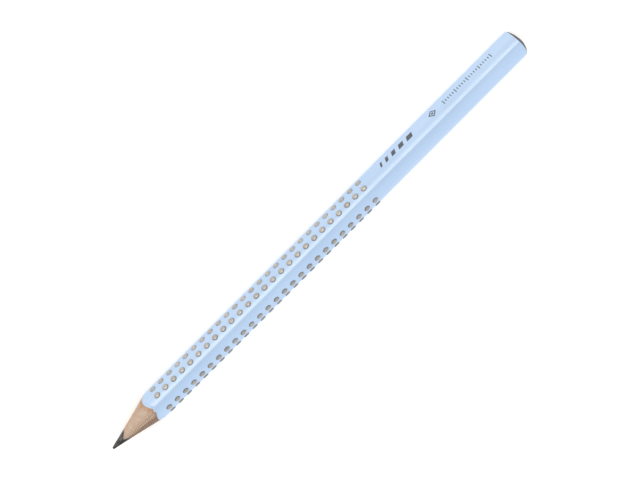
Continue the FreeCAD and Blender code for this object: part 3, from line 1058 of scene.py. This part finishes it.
def bar_grid(from_tip, width, height, slant):
    """A grid for a bar across the face that leans towards the dipped end as it runs down."""
    along = np.linspace(0.0, width, BAR_ROWS)[:, None]
    across = np.linspace(height / 2, -height / 2, BAR_COLUMNS)[None, :]
    lean = slant * (0.5 - across / height)
    return np.stack(np.broadcast_arrays(from_tip + along + lean, across), axis=-1)


def frame_side_grid(start, finish):
    """A grid for one side of the hollow diamond, between its outlines, from one corner to the next."""
    share = np.linspace(0.0, 1.0, FRAME_SIDE_ROWS)[:, None]
    line = np.array(start) * (1.0 - share) + np.array(finish) * share
    grid = np.stack([line * DIAMOND_REACH, line * DIAMOND_HOLLOW_REACH], axis=1)
    return grid + np.array([DIAMOND_FROM_TIP, 0.0])


def spot_grid():
    """A grid for the round spot in the diamond, as strips across a circle."""
    turn = np.linspace(0.0, math.pi, DIAMOND_SPOT_ROWS)
    along = np.cos(turn)[:, None]
    half = np.sin(turn)[:, None]
    share = np.linspace(-1.0, 1.0, DIAMOND_SPOT_COLUMNS)[None, :]
    grid = np.stack(np.broadcast_arrays(along, half * share), axis=-1)
    return grid * DIAMOND_SPOT_RADIUS + np.array([DIAMOND_FROM_TIP, 0.0])


def stamped_marks():
    """Slanted bars that widen, a hollow diamond with a spot, and a millimetre scale."""
    grids = []
    from_tip = BARS_FROM_TIP
    for width in BAR_WIDTHS:
        grids.append(bar_grid(from_tip, width, BAR_HEIGHT, BAR_SLANT))
        from_tip += width + BAR_GAP
    corners = ((-1.0, 0.0), (0.0, 1.0), (1.0, 0.0), (0.0, -1.0))
    for index, corner in enumerate(corners):
        grids.append(frame_side_grid(corner, corners[(index + 1) % len(corners)]))
    grids.append(spot_grid())
    for index in range(SCALE_TICKS):
        height = LONG_TICK if index % LONG_TICK_EVERY == 0 else SHORT_TICK
        middle = SCALE_FROM_TIP + index * SCALE_PITCH
        grids.append(bar_grid(middle - TICK_WIDTH / 2, TICK_WIDTH, height, 0.0))
    new_piece("stamped_marks", [mark_slab(grid) for grid in grids], make_foil(), "foil_marks")


# ---------------------------------------------------------------- studio

CAMERA_LENS = 105.1
CAMERA_SENSOR = 36.0
CAMERA_NEAR = 50.0
CAMERA_FAR = 6000.0

# Where the camera is: its distance from its target, its lean from straight above and its roll, and how far
# along the pencil and to its side the target lies.
CAMERA_DISTANCE = 566.4
CAMERA_LEAN = math.radians(10.2)
CAMERA_ROLL = math.radians(45.09)
CAMERA_ALONG = 1.6
CAMERA_ASIDE = -0.19

FLOOR_REACH = 2500.0

# The room's brightness on the left-hand side and on the right-hand side.
ROOM_BRIGHTNESS = (1.17, 0.83)

# The long softbox: where it is, which way it runs, its length and width, how bright it is, and its colour.
KEY_CENTRE = Vector((0.0, 300.0, 153.0))
KEY_LONG_WAY = Vector((284.0, -22.0, 51.0))
KEY_SIZE = (520.0, 100.0)
KEY_RADIANCE = 2.35
KEY_COLOUR = (1.0, 0.82, 0.66)


def place(thing, location, right, up, back):
    """Puts a lamp or the camera at a place in millimetres, with its own three axes along these directions."""
    turn = Matrix((right, up, back)).transposed().to_4x4()
    thing.matrix_world = Matrix.Translation(location * MM) @ turn


def add_camera():
    """The camera: almost straight above, leaning to the right-hand side, with the pencil across its view."""
    data = bpy.data.cameras.new("camera")
    data.lens = CAMERA_LENS
    data.sensor_width = CAMERA_SENSOR
    data.clip_start = CAMERA_NEAR * MM
    data.clip_end = CAMERA_FAR * MM
    camera = bpy.data.objects.new("camera", data)
    bpy.context.scene.collection.objects.link(camera)
    along = Vector((1.0, 0.0, 0.0))
    back = Vector((0.0, math.sin(CAMERA_LEAN), math.cos(CAMERA_LEAN)))
    aside = back.cross(along) * -1.0
    target = Vector((CAMERA_ALONG, 0.0, AXIS_HEIGHT)) + aside * CAMERA_ASIDE
    right = along * math.cos(CAMERA_ROLL) + aside * math.sin(CAMERA_ROLL)
    up = along * math.sin(CAMERA_ROLL) - aside * math.cos(CAMERA_ROLL)
    place(camera, target + back * CAMERA_DISTANCE, right, up, back)
    bpy.context.scene.camera = camera


def add_softbox():
    """The long softbox: an area lamp that faces the pencil and runs beside it."""
    data = bpy.data.lights.new("key_softbox", "AREA")
    data.shape = "RECTANGLE"
    data.size, data.size_y = (side * MM for side in KEY_SIZE)
    data.energy = KEY_RADIANCE * math.pi * data.size * data.size_y
    data.color = KEY_COLOUR
    lamp = bpy.data.objects.new("key_softbox", data)
    bpy.context.scene.collection.objects.link(lamp)
    back = (KEY_CENTRE - Vector((0.0, 0.0, AXIS_HEIGHT))).normalized()
    right = (KEY_LONG_WAY - back * KEY_LONG_WAY.dot(back)).normalized()
    place(lamp, KEY_CENTRE, right, back.cross(right), back)


def add_room():
    """White light from all round, a little brighter from the left-hand side than from the right-hand side."""
    world = bpy.data.worlds.new("white_room")
    world.use_nodes = True
    tree = world.node_tree
    background = tree.nodes["Background"]
    background.inputs["Color"].default_value = WHITE
    source = node(tree, "ShaderNodeTexCoord", {})
    direction = node(tree, "ShaderNodeSeparateXYZ", {"Vector": source.outputs["Generated"]})
    brightness = spread(tree, direction.outputs["Y"], taken=(-1.0, 1.0), given=ROOM_BRIGHTNESS)
    plug(tree, brightness, background.inputs["Strength"])
    bpy.context.scene.world = world


def add_floor():
    """A wide pale floor under the pencil."""
    reach = FLOOR_REACH * MM
    corners = [(-reach, -reach, 0.0), (reach, -reach, 0.0), (reach, reach, 0.0), (-reach, reach, 0.0)]
    mesh = bpy.data.meshes.new("floor")
    mesh.from_pydata(corners, [], [(0, 1, 2, 3)])
    mesh.materials.append(make_floor_paint())
    floor = bpy.data.objects.new("floor", mesh)
    bpy.context.scene.collection.objects.link(floor)


def add_studio():
    """The white room, a long softbox on the right-hand side, and the floor."""
    add_room()
    add_softbox()
    add_floor()
    bpy.context.scene.view_settings.view_transform = "Standard"


def main():
    """Makes the camera, the studio and every piece of the pencil."""
    add_camera()
    add_studio()
    lead()
    for side in SLAT_SIGNS:
        wood_slat(side)
    glue_film()
    lacquer_coat()
    dipped_end()
    stamped_marks()
    dice = random.Random(SEED)
    dot_paint = make_dot_paint()
    for row_name in DOT_ROWS:
        for group in DOT_GROUPS:
            grip_dots(row_name, group, dot_paint, dice)


main()
